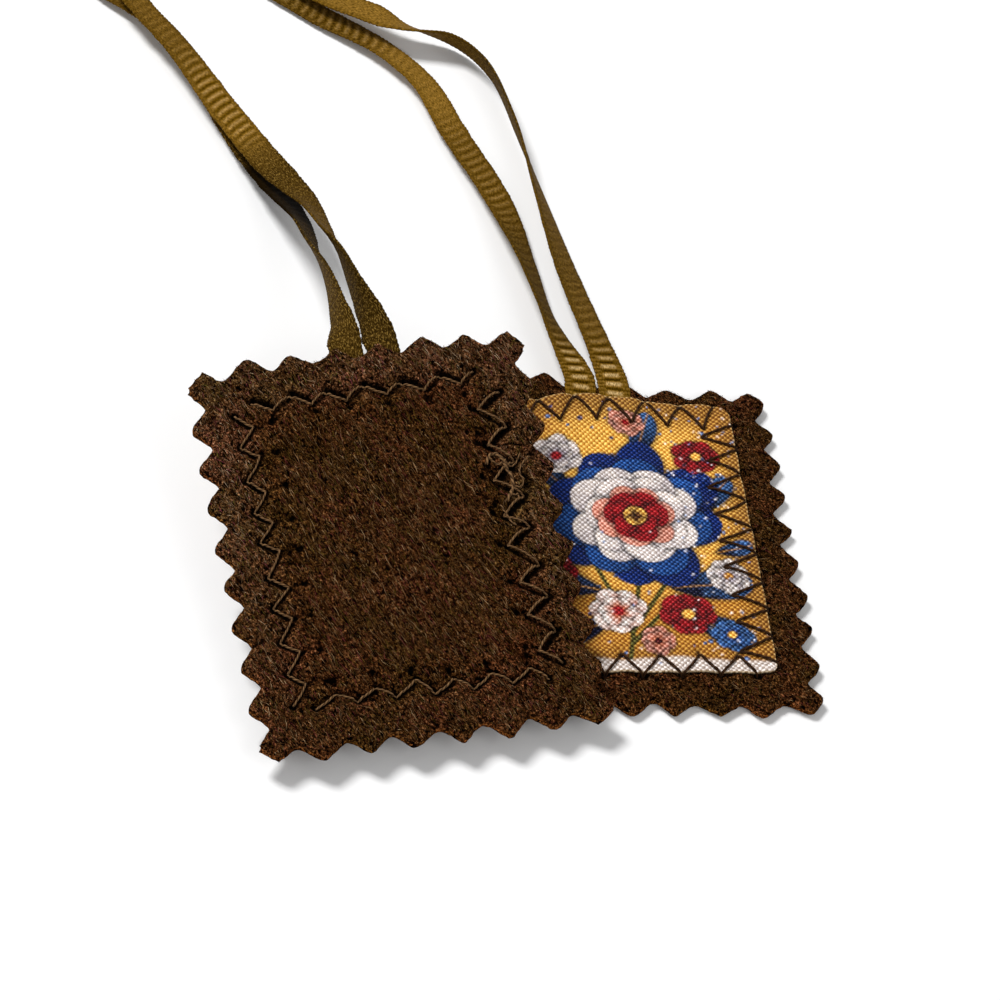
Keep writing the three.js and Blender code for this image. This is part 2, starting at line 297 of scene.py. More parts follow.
class RibbonLine:
    """A ribbon's centre line at even steps, with its edgewise and outward directions."""

    def __init__(self, route, step):
        is_left = route["right"] == "face_down"
        place = {name: RIBBON_PAIR_CENTRE + (1 if route["right"] == name else -1) * RIBBON_SPACING / 2
                 for name in PANELS}
        rows = [
            *rows_on_panel(PANELS["face_down"], place["face_down"], True),
            *route["start"],
            *loop_rows(is_left),
            *route["end"],
            *rows_on_panel(PANELS["face_up"], place["face_up"], False),
        ]
        rows = np.array(rows, float)
        fine = np.linspace(0, 1, 60 * len(rows))
        line = curve_points(rows[:, :3], fine)
        turns = curve_points(np.stack([np.arange(len(rows)), rows[:, 3]], -1), fine)[:, 1]
        run = run_along(line)
        self.length = run[-1]
        self.run = np.linspace(0, self.length, round(self.length / step) + 1)
        self.points = np.stack([np.interp(self.run, run, line[:, k]) for k in range(3)], -1)
        self.points[:, 2] = np.maximum(self.points[:, 2], RIBBON_WALL / 2)
        tangent = unit(np.gradient(self.points, axis=0))
        flat = unit(np.cross(tangent, (0, 0, 1)))
        turn = -np.radians(np.interp(self.run, run, turns))[:, None]
        self.edgewise = flat * np.cos(turn) + np.cross(tangent, flat) * np.sin(turn)
        self.outward = np.cross(self.edgewise, tangent)


# Camera and lights

def aim_camera():
    data = bpy.data.cameras.new("view_camera")
    data.sensor_width = 36
    data.sensor_fit = "HORIZONTAL"
    data.lens = CAMERA_LENS
    data.clip_start = 0.01
    camera = bpy.data.objects.new("view_camera", data)
    e, r = CAMERA_ELEVATION, CAMERA_ROLL
    forward = Vector((0, math.cos(e), -math.sin(e)))
    right = Vector((1, 0, 0))
    up = right.cross(forward)
    tilted_right = right * math.cos(r) + up * math.sin(r)
    tilted_up = up * math.cos(r) - right * math.sin(r)
    turn = Matrix((tilted_right, tilted_up, -forward)).transposed().to_4x4()
    eye = (Vector(CAMERA_AIM) - forward * CAMERA_DISTANCE) * MM
    camera.matrix_world = Matrix.Translation(eye) @ turn
    bpy.context.scene.collection.objects.link(camera)
    bpy.context.scene.camera = camera


def area_light(name, place, size, watts):
    data = bpy.data.lights.new(name, "AREA")
    data.shape = "DISK"
    data.size = size
    data.energy = watts
    lamp = bpy.data.objects.new(name, data)
    lamp.location = place
    lamp.rotation_euler = (Vector(LIGHTS_AIM) - Vector(place)).to_track_quat("-Z", "Y").to_euler()
    bpy.context.scene.collection.objects.link(lamp)


def add_floor(material):
    mesh = bpy.data.meshes.new("floor")
    far = FLOOR_HALF
    corners = [(x, y, -FLOOR_DROP) for x, y in ((-far, -far), (far, -far), (far, far), (-far, far))]
    mesh.from_pydata(corners, [], [(0, 1, 2, 3)])
    mesh.materials.append(material)
    floor = bpy.data.objects.new("floor", mesh)
    bpy.context.scene.collection.objects.link(floor)


# Materials

class Nodes:
    """A material's node tree, with a short way to add a node and link its inputs."""

    def __init__(self, name):
        self.material = bpy.data.materials.new(name)
        self.material.use_nodes = True
        self.tree = self.material.node_tree
        self.shader = self.tree.nodes["Principled BSDF"]

    def add(self, kind, inputs=None, **settings):
        node = self.tree.nodes.new(kind)
        for key, value in settings.items():
            setattr(node, key, value)
        for key, value in (inputs or {}).items():
            self.put(node.inputs[key], value)
        return node

    def put(self, socket, value):
        if isinstance(value, bpy.types.NodeSocket):
            self.tree.links.new(value, socket)
        else:
            socket.default_value = value

    def set(self, **inputs):
        for key, value in inputs.items():
            self.put(self.shader.inputs[key.replace("_", " ")], value)

    def attribute(self, name):
        return self.add("ShaderNodeAttribute", attribute_name=name).outputs["Color"]

    def math(self, operation, a, b=0.0, clamp=False):
        return self.add("ShaderNodeMath", {0: a, 1: b}, operation=operation, use_clamp=clamp).outputs[0]

    def weighted(self, *terms):
        """The sum of some values, each times its weight."""
        total, *rest = (self.math("MULTIPLY", value, weight) for value, weight in terms)
        for term in rest:
            total = self.math("ADD", total, term)
        return total

    def stretched(self, vector, scale, degrees=0.0, kind="POINT"):
        inputs = {"Vector": vector, "Rotation": (0, 0, math.radians(degrees)), "Scale": scale}
        return self.add("ShaderNodeMapping", inputs, vector_type=kind).outputs[0]

    def noise(self, vector, scale, detail=2.0, roughness=0.5):
        inputs = {"Vector": vector, "Scale": scale, "Detail": detail, "Roughness": roughness}
        return self.add("ShaderNodeTexNoise", inputs).outputs["Fac"]

    def ramp(self, value, stops):
        """Stops are places with a colour, or with one number for a grey."""
        node = self.add("ShaderNodeValToRGB", {"Fac": value})
        ramp = node.color_ramp
        while len(ramp.elements) < len(stops):
            ramp.elements.new(0.5)
        for element, (place, colour) in zip(ramp.elements, stops):
            element.position = place
            element.color = (*np.broadcast_to(colour, 3), 1)
        return node.outputs["Color"]

    def mix(self, a, b, fac, blend="MIX"):
        node = self.add("ShaderNodeMix", data_type="RGBA", blend_type=blend)
        self.put(node.inputs[0], fac)
        self.put(node.inputs[6], a)
        self.put(node.inputs[7], b)
        return node.outputs[2]

    def times(self, a, b):
        return self.mix(a, b, 1.0, "MULTIPLY")

    def bump(self, height, strength, distance):
        inputs = {"Height": height, "Strength": strength, "Distance": distance}
        return self.add("ShaderNodeBump", inputs).outputs["Normal"]


def rgb(red, green, blue):
    """A colour as the eye reads it, 0 to 255, in the linear values that a shader takes."""
    return np.array([(c / 255) ** 2.2 for c in (red, green, blue)])


def felt_material():
    """Matted wool: near-black gaps between fine fibres that mostly run one way, in soft lighter clumps."""
    n = Nodes("felt_wool")
    place = n.add("ShaderNodeTexCoord").outputs["Object"]

    def lain(degrees, stretch):
        return n.stretched(place, (stretch, 1, 1), degrees, "TEXTURE")

    fibres = n.math("MAXIMUM", n.noise(lain(-47, 5.5), 5600, 2, 0.6), n.noise(lain(-70, 4), 5200, 2, 0.6))
    tangle = n.noise(place, 3900, 3, 0.7)
    gaps = n.noise(place, 1700, 2, 0.6)
    broad = n.noise(place, 160, 2, 0.5)
    colour = n.ramp(fibres, [(0.43, rgb(3, 0, 0)), (0.54, rgb(52, 29, 10)), (0.63, rgb(98, 68, 42)),
                             (0.75, rgb(160, 126, 88))])
    # The lines where a noise crosses its middle value are curly fibres
    curls = [n.math("ABSOLUTE", n.math("SUBTRACT", n.noise(vector, scale, 1.5, 0.5), 0.5))
             for vector, scale in ((place, 2300), (lain(-60, 2.5), 3100), (lain(-20, 1.8), 2700))]
    curl = n.math("MINIMUM", curls[0], n.math("MINIMUM", curls[1], curls[2]))
    strands = n.ramp(curl, [(0.0, rgb(134, 100, 68)), (0.01, rgb(92, 62, 38)), (0.03, rgb(46, 25, 9)),
                            (0.075, rgb(6, 1, 0))])
    colour = n.mix(colour, strands, 0.55)
    for value, stops in (
        (tangle, [(0.39, (0.03, 0.02, 0.01)), (0.52, (1.0, 0.94, 0.84)), (0.65, (2.8, 2.75, 2.6))]),
        (gaps, [(0.38, (0.02, 0.01, 0.01)), (0.5, (1.16, 1.11, 1.05))]),
        (broad, [(0.36, (0.78, 0.86, 0.66)), (0.64, (1.2, 1.0, 1.16))]),
    ):
        colour = n.times(colour, n.ramp(value, stops))
    # The shade attribute: painted shade in the seam's holes, grooves and pockets, the paler margin, and
    # painted light on the cut rim
    colour = n.times(colour, n.attribute("shade"))
    height = n.weighted((fibres, 0.7), (gaps, 1.2), (tangle, 0.6), (curl, -3.0))
    n.set(Base_Color=colour, Roughness=0.95, Normal=n.bump(height, 1.0, 0.0003), Specular_IOR_Level=0.004)
    n.set(Sheen_Weight=0.004, Sheen_Roughness=0.6, Sheen_Tint=(0.8, 0.6, 0.4, 1))
    return n.material


def nap_material():
    n = Nodes("felt_nap")
    n.set(Base_Color=n.attribute("tone"), Roughness=0.9, Specular_IOR_Level=0.004)
    return n.material


def thread_material(name, dark, light, roughness):
    n = Nodes(name)
    painted_ply_shade = n.attribute("painted_ply_shade")
    n.set(Base_Color=n.mix((*dark, 1), (*light, 1), painted_ply_shade), Roughness=roughness, Specular_IOR_Level=0.05)
    n.set(Sheen_Weight=0.02, Sheen_Roughness=0.5)
    return n.material


def patch_material():
    """Printed plain weave: each crossing of the threads is a small dot, and the print shows through it."""
    n = Nodes("patch_print")
    uv = n.add("ShaderNodeUVMap", uv_map="flat").outputs[0]
    place = n.add("ShaderNodeSeparateXYZ", {0: uv})
    wobble = n.math("MULTIPLY", n.math("SUBTRACT", n.noise(uv, 0.9, 2), 0.5), 0.5)
    warp, weft = (
        n.math("SINE", n.math("MULTIPLY", n.math("ADD", place.outputs[k], wobble), math.pi / WEAVE_PITCH))
        for k in (0, 1)
    )
    wave = n.math("MULTIPLY", warp, weft)
    crossing = n.math("ADD", n.math("MULTIPLY", wave, 0.5), 0.5)
    grain = n.noise(uv, 3.1, 2, 0.6)
    # Painted shade between the crossings and painted light on them, where a painted highlight and a little
    # uninked thread show
    ink = n.attribute("print")
    shaded_hollows = n.times(ink, n.mix(ink, (0.4, 0.36, 0.34, 1), 0.38))
    shaded_hollows = n.times(shaded_hollows, (0.92, 0.84, 0.76, 1))
    lit_crossings = n.times(ink, (1.5, 1.47, 1.45, 1))
    raised = n.ramp(crossing, [(0.3, 0), (0.52, 0.3), (0.8, 1)])
    colour = n.mix(shaded_hollows, lit_crossings, raised)
    highlight_and_bare_thread = n.math("MULTIPLY", n.math("SUBTRACT", crossing, 0.78, clamp=True), 0.42)
    colour = n.mix(colour, (0.8, 0.75, 0.68, 1), highlight_and_bare_thread)
    colour = n.times(colour, n.ramp(grain, [(0.32, (0.7, 0.68, 0.66)), (0.68, 1.16)]))
    height = n.math("ABSOLUTE", wave)
    n.set(Base_Color=colour, Roughness=n.math("ADD", n.math("MULTIPLY", grain, 0.3), 0.38))
    n.set(Normal=n.bump(height, 0.7, 0.0001), Specular_IOR_Level=0.1)
    n.set(Sheen_Weight=0.01, Sheen_Roughness=0.4)
    return n.material


def ribbon_material():
    """Woven ribbon: light floats of weft across its middle between dark lines, beside two plain edges."""
    n = Nodes("ribbon_olive")
    uv = n.add("ShaderNodeUVMap", uv_map="flat").outputs[0]
    rib = n.attribute("rib")
    strands = n.noise(n.stretched(uv, (4.4, 1.3, 1)), 1.6, 2, 0.6)
    cross = n.noise(n.stretched(uv, (0.6, 5, 1)), 1.5, 2, 0.6)
    colour = n.ramp(rib, [(0.0, rgb(46, 31, 0)), (0.35, rgb(92, 67, 14)), (0.6, rgb(132, 100, 44)),
                          (0.8, rgb(162, 130, 80)), (1.0, rgb(192, 162, 114))])
    colour = n.times(colour, n.ramp(strands, [(0.34, (0.4, 0.37, 0.2)), (0.5, (0.95, 0.94, 0.9)),
                                              (0.66, (1.6, 1.58, 1.55))]))
    colour = n.times(colour, n.ramp(cross, [(0.3, (0.82, 0.82, 0.8)), (0.7, 1.1)]))
    # The ribbon's painted shade, darker where it is turned from the light
    painted_shade = n.attribute("painted_shade")
    colour = n.times(colour, painted_shade)
    # Painted glints of single threads, strongest where the ribbon's painted shade is fairly dark
    dim = n.ramp(painted_shade, [(0.08, 0), (0.2, 1), (0.4, 0.8), (0.8, 0)])
    glint = n.math("MULTIPLY", n.math("SUBTRACT", strands, 0.54, clamp=True), dim)
    colour = n.mix(colour, (*rgb(160, 128, 66), 1), n.math("MULTIPLY", glint, 5.0, clamp=True))
    height = n.weighted((strands, 0.6), (cross, 0.5))
    n.set(Base_Color=colour, Roughness=0.55, Normal=n.bump(height, 0.8, 0.00014), Specular_IOR_Level=0.006)
    n.set(Sheen_Weight=0.002, Sheen_Roughness=0.4, Sheen_Tint=(0.9, 0.7, 0.3, 1))
    return n.material


def floor_material():
    n = Nodes("floor_white")
    place = n.add("ShaderNodeTexCoord").outputs["Object"]
    n.set(Base_Color=n.ramp(n.noise(place, 3), [(0.3, 0.93), (0.7, 0.96)]))
    n.set(Roughness=0.9, Specular_IOR_Level=0.1)
    return n.material


# Pinked felt

def pinked_triangles():
    """The pattern of a panel as triangles of (u, v): a grid of half-tooth cells with teeth round it."""
    left, bottom = -PANEL_WIDTH / 2 + TOOTH_DEPTH, TOOTH_DEPTH
    us = np.linspace(left, -left, 2 * TEETH_ACROSS + 1)
    vs = np.linspace(bottom, PANEL_HEIGHT - bottom, 2 * TEETH_DOWN + 1)
    triangles = []
    for a, b in zip(us, us[1:]):
        for c, d in zip(vs, vs[1:]):
            triangles += [[(a, c), (b, c), (b, d)], [(a, c), (b, d), (a, d)]]
    sides = [
        (us, lambda u, out: (u, bottom - out)),
        (us, lambda u, out: (u, PANEL_HEIGHT - bottom + out)),
        (vs, lambda v, out: (left - out, v)),
        (vs, lambda v, out: (-left + out, v)),
    ]
    for lines, at in sides:
        for i in range(0, len(lines), 2):
            middle = at(lines[i], 0)
            if i in (0, len(lines) - 1):
                valley = at(lines[i + 1 if i == 0 else i - 1], 0)
                triangles.append([middle, valley, at(lines[i], TOOTH_DEPTH)])
                continue
            tip_start = at(lines[i] - TIP_HALF_WIDTH, TOOTH_DEPTH)
            tip_end = at(lines[i] + TIP_HALF_WIDTH, TOOTH_DEPTH)
            triangles += [[at(lines[i - 1], 0), middle, tip_start], [middle, tip_end, tip_start],
                          [middle, at(lines[i + 1], 0), tip_end]]
    for u in (left, -left):
        for v in (bottom, PANEL_HEIGHT - bottom):
            out_u = u + math.copysign(TOOTH_DEPTH, u)
            out_v = v - TOOTH_DEPTH if v == bottom else v + TOOTH_DEPTH
            triangles.append([(u, v), (out_u, v), (u, out_v)])
    corners = np.array(triangles, float)
    a, b, c = corners.transpose(1, 0, 2)
    area = (b[:, 0] - a[:, 0]) * (c[:, 1] - a[:, 1]) - (c[:, 0] - a[:, 0]) * (b[:, 1] - a[:, 1])
    corners[area < 0] = corners[area < 0][:, ::-1]
    return corners


def divided(corners, parts):
    """Each triangle cut into parts x parts smaller ones: shared points, and triangles of their numbers."""
    keys = [(i, j) for i in range(parts + 1) for j in range(parts + 1 - i)]
    number = {key: k for k, key in enumerate(keys)}
    small = []
    for i, j in keys:
        if i + j < parts:
            small.append([number[i, j], number[i + 1, j], number[i, j + 1]])
        if i + j < parts - 1:
            small.append([number[i + 1, j], number[i + 1, j + 1], number[i, j + 1]])
    s, t = (np.array(keys, float) / parts).T
    a, b, c = corners[:, 0, None], corners[:, 1, None], corners[:, 2, None]
    every = a + (b - a) * s[None, :, None] + (c - a) * t[None, :, None]
    index = np.arange(len(corners))[:, None, None] * len(keys) + np.array(small)[None]
    _, first, shared = np.unique(np.round(every.reshape(-1, 2), 3), axis=0, return_index=True,
                                 return_inverse=True)
    return every.reshape(-1, 2)[first], shared.ravel()[index.reshape(-1, 3)]


def rim_of(triangles, count):
    """The outline's directed edges: arrays of each point's next and previous point, or -1 inside."""
    edges = np.concatenate([triangles[:, [0, 1]], triangles[:, [1, 2]], triangles[:, [2, 0]]])
    codes = edges[:, 0] * count + edges[:, 1]
    backward = edges[:, 1] * count + edges[:, 0]
    rim = edges[~np.isin(codes, backward)]
    following, previous = np.full(count, -1), np.full(count, -1)
    following[rim[:, 0]] = rim[:, 1]
    previous[rim[:, 1]] = rim[:, 0]
    return rim, following, previous


RIM_ROUND = 0.094  # how much the tips and the valleys are rounded


class FeltPattern:
    """The cut outline with its grid, its tips rounded and its teeth a little uneven."""

    def __init__(self, seed, parts):
        self.points, self.triangles = divided(pinked_triangles(), parts)
        self.rim, following, previous = rim_of(self.triangles, len(self.points))
        on_rim = np.flatnonzero(following >= 0)
        for _ in range(round(RIM_ROUND * parts**2)):
            middle = (self.points[following[on_rim]] + self.points[previous[on_rim]]) / 2
            self.points[on_rim] += 0.5 * (middle - self.points[on_rim])
        outline = self.points[on_rim]
        self.depth = np.concatenate([
            np.sqrt(((block[:, None] - outline[None]) ** 2).sum(-1)).min(1)
            for block in np.array_split(self.points, 40)
        ])
        u, v = self.points.T
        near = 1 - smoothstep(self.depth, 1.5, 6)
        rough = 1 - smoothstep(self.depth, 0, 0.5)
        for k in range(2):
            self.points[:, k] += 0.24 * near * waves(u, v, 7.5, seed + k)
            self.points[:, k] += 0.05 * rough * waves(u, v, 0.9, seed + 10 + k)


def near_segments(u, v, starts, ends):
    """How far each point (u, v) is from the nearest of the segments."""
    best = np.full(len(u), 1e9)
    for a, b in zip(np.asarray(starts, float), np.asarray(ends, float)):
        d = b - a
        t = np.clip(((u - a[0]) * d[0] + (v - a[1]) * d[1]) / (d @ d), 0, 1)
        best = np.minimum(best, np.hypot(u - a[0] - t * d[0], v - a[1] - t * d[1]))
    return best


# The seam: a zigzag round the patch. Each side starts at an outer needle point and steps along to the next.
# inner is the way from an outer point to the inner one after it. On the back the bobbin thread only
# reaches turn, and a slit in the felt goes on to the needle hole.

FRONT_SEAM = {
    "top": dict(first=(-13.6, 47.6), step=(4.5, 0), inner=(2.65, -3.6), count=6),
    "right": dict(first=(15.4, 44.8), step=(0, -4.23), inner=(-4.4, -2.15), count=9),
    "bottom": dict(first=(12.9, 5.3), step=(-4.5, 0), inner=(-2.2, 2.9), count=6),
    "left": dict(first=(-15.4, 7.0), step=(0, 4.23), inner=(4.0, 2.6), count=9),
}
BACK_SEAM = {
    "top": dict(first=(13.3, 45.7), step=(-4.42, 0), turn=(-2.4, -1.35), inner=(-2.5, -2.75), count=6),
    "right": dict(first=(15.3, 44.5), step=(0, -4.19), turn=(-1.9, -1.7), inner=(-3.95, -1.75), count=9),
    "bottom": dict(first=(12.9, 6.1), step=(-4.45, 0), turn=(-2.3, 1.45), inner=(-2.3, 2.9), count=6),
    "left": dict(first=(-15.9, 43.1), step=(0, -4.4), turn=(2.9, -2.2), inner=(4.1, -2.0), count=8),
}
NEEDLE_SHAKE = 0.13
SHADOW_SIDE = 0.36  # how far beside the thread on the back the felt is pulled deepest


def slack(u, v):
    """How far the patch hangs below its cut line: its top edge droops at the left."""
    return 2.5 * smoothstep(-u, 1, 14) * smoothstep(v, 26, PATCH_TOP)


class Seam:
    """A zigzag in (u, v): its legs run in from starts to turns, and out from those to ends. holes is where
    the needle went through, each a little out of place."""

    def __init__(self, table, seed):
        rng = np.random.default_rng(seed)
        sides = []
        for side in table.values():
            outer = np.array(side["first"]) + np.arange(side["count"] + 1)[:, None] * np.array(side["step"])
            outer = outer + rng.normal(0, NEEDLE_SHAKE, outer.shape)
            inner, turns = (
                outer[:-1] + side.get(key, side["inner"]) + rng.normal(0, NEEDLE_SHAKE, outer[1:].shape)
                for key in ("inner", "turn")
            )
            if table is FRONT_SEAM:
                for points in (outer, inner, turns):
                    points[:, 1] -= slack(*points.T)
            sides.append((outer, inner, outer[:-1], turns, outer[1:]))
        joined = (np.concatenate(part) for part in zip(*sides))
        outer, self.inner, self.starts, self.turns, self.ends = joined
        self.holes = np.concatenate([outer, self.inner])

    def legs(self):
        """The starts and ends of the legs that run inwards, and those of the legs that run outwards."""
        return (self.starts, self.turns), (self.turns, self.ends)

    def gap(self, u, v):
        """How far each place is from the thread."""
        return np.minimum(*(near_segments(u, v, *legs) for legs in self.legs()))

    def shadows(self):
        """The grooves: inside the corner along most of the inward legs, and outside it along the others."""
        under = unit(self.ends - self.turns) * SHADOW_SIDE
        beside = unit(self.turns - self.starts) * SHADOW_SIDE
        most = mix(self.starts, self.turns, 0.8)
        return (self.starts + under, most + under), (self.turns + beside, self.ends + beside)


SEAMS = {side: {1: Seam(FRONT_SEAM, seeds["front"]), -1: Seam(BACK_SEAM, seeds["back"])}
         for side, seeds in SEEDS.items()}


def near_points(u, v, points, reach):
    """1 at the points and less round them, down to 0."""
    pull = np.zeros(len(u))
    for a, b in points:
        pull = np.maximum(pull, np.exp(-(((u - a) ** 2 + (v - b) ** 2) / reach**2)))
    return pull


# Dented pockets, painted in shadow, under the spare thread on the back of the panel face down, as (u, v)
TANGLE_POCKETS = [
    (-12.3, 37.9), (-12.8, 36.6), (-12.4, 33.5), (-13.2, 32.6), (-14.1, 32.2), (-15.6, 32.9), (-17.9, 34.7),
    (-16.5, 31.9), (-16.6, 31.0), (-12.3, 28.7), (-13.7, 27.5),
]


FELT_EDGE = 0.55  # how far in from its outline the felt has its full thickness
FELT_EDGE_SHARE = 0.68
LUMPS = ((0.06, 5.0), (0.045, 1.6), (0.03, 0.8))  # height and wavelength
HOLE_REACH = 0.46
POCKET_REACH = 0.55
PULL_REACH = 1.2  # how far from the thread it pulls the felt down
# Grooves on the back under and beside the thread, and slits from its turns to the needle holes, all dented
# and
# painted in shade: how near their line they are full, where they end, how far they sink and how dark they
# are
GROOVES = ((0.2, 0.56, 0.2, 1.06), (0.05, 0.4, 0.18, 0.9), (0.03, 0.3, 0.15, 0.62))


def ridge(gap, start, top, end):
    """0 up to start, 1 at top and 0 again from end on."""
    return smoothstep(gap, start, top) * (1 - smoothstep(gap, top, end))


def dent(gap, reach):
    """1 where gap is 0, and less and less beyond it."""
    return np.exp(-(gap / reach) ** 2)


class FeltShape:
    """A felt panel's two faces as heights w over the pattern: thickness, lumps, and the pull of the seam."""

    def __init__(self, side):
        self.side, self.seed = side, SEEDS[side]["shape"]

    def height(self, u, v, depth, facing):
        """w of the front where facing is 1, or of the back where it is -1, and the painted shade of that
        place.
        """
        thin = np.sqrt(np.clip(depth / FELT_EDGE, 0, 1))
        half = FELT_WALL / 2 * (FELT_EDGE_SHARE + (1 - FELT_EDGE_SHARE) * thin)
        seeds = (self.seed, self.seed + 1, self.seed + 2 + facing)
        soft = sum(high * waves(u, v, long, seed) for (high, long), seed in zip(LUMPS, seeds))
        seam = SEAMS[self.side][facing]
        gap = seam.gap(u, v)
        hole = smoothstep(near_points(u, v, seam.holes, HOLE_REACH), 0.2, 0.62)
        puff = 0.22 * ridge(gap, 0.6, 1.6, 3.6)
        # shade is painted shade: dark in the needle holes, and on the back also in the grooves, slits,
        # pockets and along the thread
        if facing > 0:
            sunk = 0.1 * dent(gap, 0.35) + 0.25 * hole + 0.08 * dent(gap, PULL_REACH)
            shade = 1 - 0.85 * hole
        else:
            sunk, shade = 0, 1.06
            lines = (*seam.shadows(), (seam.turns, seam.inner))
            for line, (full, end, sink, dark) in zip(lines, GROOVES):
                groove = 1 - smoothstep(near_segments(u, v, *line), full, end)
                sunk, shade = sunk + sink * groove, shade - dark * groove
            sunk = sunk + 0.24 * hole + 0.16 * dent(gap, PULL_REACH)
            shade = shade - 1.1 * hole - 0.2 * dent(gap, 0.7)
            if self.side == "face_down":
                pocket = near_points(u, v, TANGLE_POCKETS, POCKET_REACH)
                sunk, shade = sunk + 0.25 * pocket, shade - 1.1 * pocket
        return facing * (half + soft + puff - sunk), np.clip(shade, 0.03, 1.2)


def margin_tint(side, v, depth):
    """How the felt's colour changes: the margin of the panel that is face down is paler and greyer at its
    far end.
    """
    if side == "face_up":
        return np.ones((len(v), 3))
    paler = (1 - smoothstep(depth, 3.6, 6.2)) * smoothstep(v, -8, 34)
    return 1 + paler[:, None] * (0.36, 0.56, 1.0)


RIM_SHADE = (2.2, 2.0, 1.4)  # a freshly cut edge catches the light
RIM_BELLY = 0.05


def add_felt(side, material):
    pattern = FeltPattern(SEEDS[side]["pattern"], LOOKS[side]["parts"])
    shape = FeltShape(side)
    u, v = pattern.points.T
    count = len(u)
    layers, shades = [], []
    for facing in (-1, 1):
        w, shade = shape.height(u, v, pattern.depth, facing)
        layers.append(panel_points(PANELS[side], u, v, w))
        shades.append(shade[:, None] * margin_tint(side, v, pattern.depth))
    # A third ring of points rounds the cut edge
    a, b = pattern.rim.T
    rim = np.unique(pattern.rim)
    number = np.full(count, -1)
    number[rim] = 2 * count + np.arange(len(rim))
    belly = pattern.points[rim] + RIM_BELLY * unit(pattern.points[rim] - pattern.points[rim].mean(0))
    layers.append(panel_points(PANELS[side], *belly.T, 0.0))
    shades.append(np.broadcast_to(RIM_SHADE, (len(rim), 3)))
    triangles = pattern.triangles
    faces = np.concatenate([
        triangles[:, ::-1], triangles + count,
        np.stack([a, b, number[b]], -1), np.stack([a, number[b], number[a]], -1),
        np.stack([number[a], number[b], b + count], -1), np.stack([number[a], b + count, a + count], -1),
    ])
    felt = mesh_object(f"felt_{side}_cloth", np.concatenate(layers), faces, material,
                       {"shade": np.concatenate(shades)})
    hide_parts(f"felt_{side}")
    return felt, pattern, shape


# Nap: fibres that stand on the felt as thin closed slivers

NAP_TONES = [
    (rgb(7, 1, 0), 0.3), (rgb(54, 30, 11), 0.24), (rgb(92, 64, 38), 0.22), (rgb(134, 102, 70), 0.1),
    (rgb(116, 56, 54), 0.04), (rgb(178, 144, 104), 0.025), (rgb(92, 76, 32), 0.055),
]
NAP_LENGTH = 0.32  # the scale of a gamma distribution of shape 3
NAP_LONG = 2.2  # how much longer the long fibres are
NAP_RADIUS = (0.013, 0.029)
NAP_RISE = (-0.03, 0.06, -0.02)  # how high a fibre's root, middle and tip lie over the felt
NAP_SPARE = 1.5  # more fibres are drawn than kept, because none grows in the seam
NAP_CLEAR = 0.66  # the least shade that a fibre grows on
NAP_PLACES = 9  # how many places along a fibre are tried, of which every fourth is kept
FIBRE_FACES = np.array([(0, 2, 1), (0, 3, 2), (0, 1, 3), (1, 2, 4), (2, 3, 4), (3, 1, 4)])
FIBRE_POINTS = 5


def strewn(pattern, count, rng):
    """Places spread evenly over the pattern, and how far each is from its outline."""
    corners = pattern.points[pattern.triangles]
    ab, ac = corners[:, 1] - corners[:, 0], corners[:, 2] - corners[:, 0]
    area = np.abs(ab[:, 0] * ac[:, 1] - ab[:, 1] * ac[:, 0])
    pick = rng.choice(len(area), count, p=area / area.sum())
    s, t = rng.uniform(0, 1, (2, count))
    flip = s + t > 1
    s[flip], t[flip] = 1 - s[flip], 1 - t[flip]
    places = corners[pick, 0] + ab[pick] * s[:, None] + ac[pick] * t[:, None]
    return places, pattern.depth[pattern.triangles[pick, 0]]


def nap_fibres(side, pattern, shape, facing, wanted, rng):
    """The points of the fibres on one face, five a fibre, and the tone of each fibre."""
    look = LOOKS[side]
    count = round(wanted * NAP_SPARE)
    root, depth = strewn(pattern, count, rng)
    loose = np.clip(waves(*root.T, 16, 90) * 0.4 + look["stray"], 0.1, 1.6)
    loose = np.where(depth < 3, loose + 0.5, loose)
    heading = rng.normal(0, 1, count) * (0.1 + 0.8 * loose * rng.uniform(0, 1, count))
    heading = math.radians(look["lay"]) + heading
    length = rng.gamma(3.0, NAP_LENGTH, count)
    length = length * np.where(rng.uniform(0, 1, count) < look["long"], NAP_LONG, 1)
    gap = SEAMS[side][facing].gap(*root.T)
    length = np.clip(length, 0.35, np.maximum(np.minimum(1.7 * depth, 2.2 * gap), 0.4))
    bend = rng.normal(0, 0.22, count)
    along = np.linspace(-0.5, 0.5, NAP_PLACES)[None] * length[:, None]
    angle = heading[:, None] + bend[:, None] * along / 2
    u = root[:, 0, None] + along * np.cos(angle)
    v = root[:, 1, None] + along * np.sin(angle)
    w, shade = shape.height(u.ravel(), v.ravel(), np.repeat(depth, NAP_PLACES), facing)
    w, shade = w.reshape(count, -1), shade.reshape(count, -1)
    clear = np.flatnonzero(shade.min(1) > NAP_CLEAR)[:wanted]
    count = len(clear)
    rise = np.array(NAP_RISE) * rng.uniform(0.4, 1.7, (count, 1))
    rise[:, 2] += rng.uniform(0, 0.08, count)
    line = np.stack([u, v, w], -1)[clear, ::4]
    line[..., 2] += facing * rise
    # Root, left, right and top of the middle, and tip
    radius = rng.uniform(*NAP_RADIUS, count)
    middle = angle[clear, NAP_PLACES // 2]
    aside = np.stack([-np.sin(middle), np.cos(middle)], -1) * radius[:, None]
    points = line[:, [0, 1, 1, 1, 2]]
    points[:, 1, :2] -= aside
    points[:, 2, :2] += aside
    points[:, 3, 2] += facing * 1.3 * radius
    palette = np.array([tone for tone, _ in NAP_TONES])
    chance = np.array([share for _, share in NAP_TONES])
    tone = palette[rng.choice(len(palette), count, p=chance / chance.sum())]
    # Each fibre takes the felt's painted shade at its root
    tone = tone * rng.uniform(0.5, 1.6, (count, 1)) * shade[clear, :1]
    return points.reshape(-1, 3), tone * margin_tint(side, root[clear, 1], depth[clear])


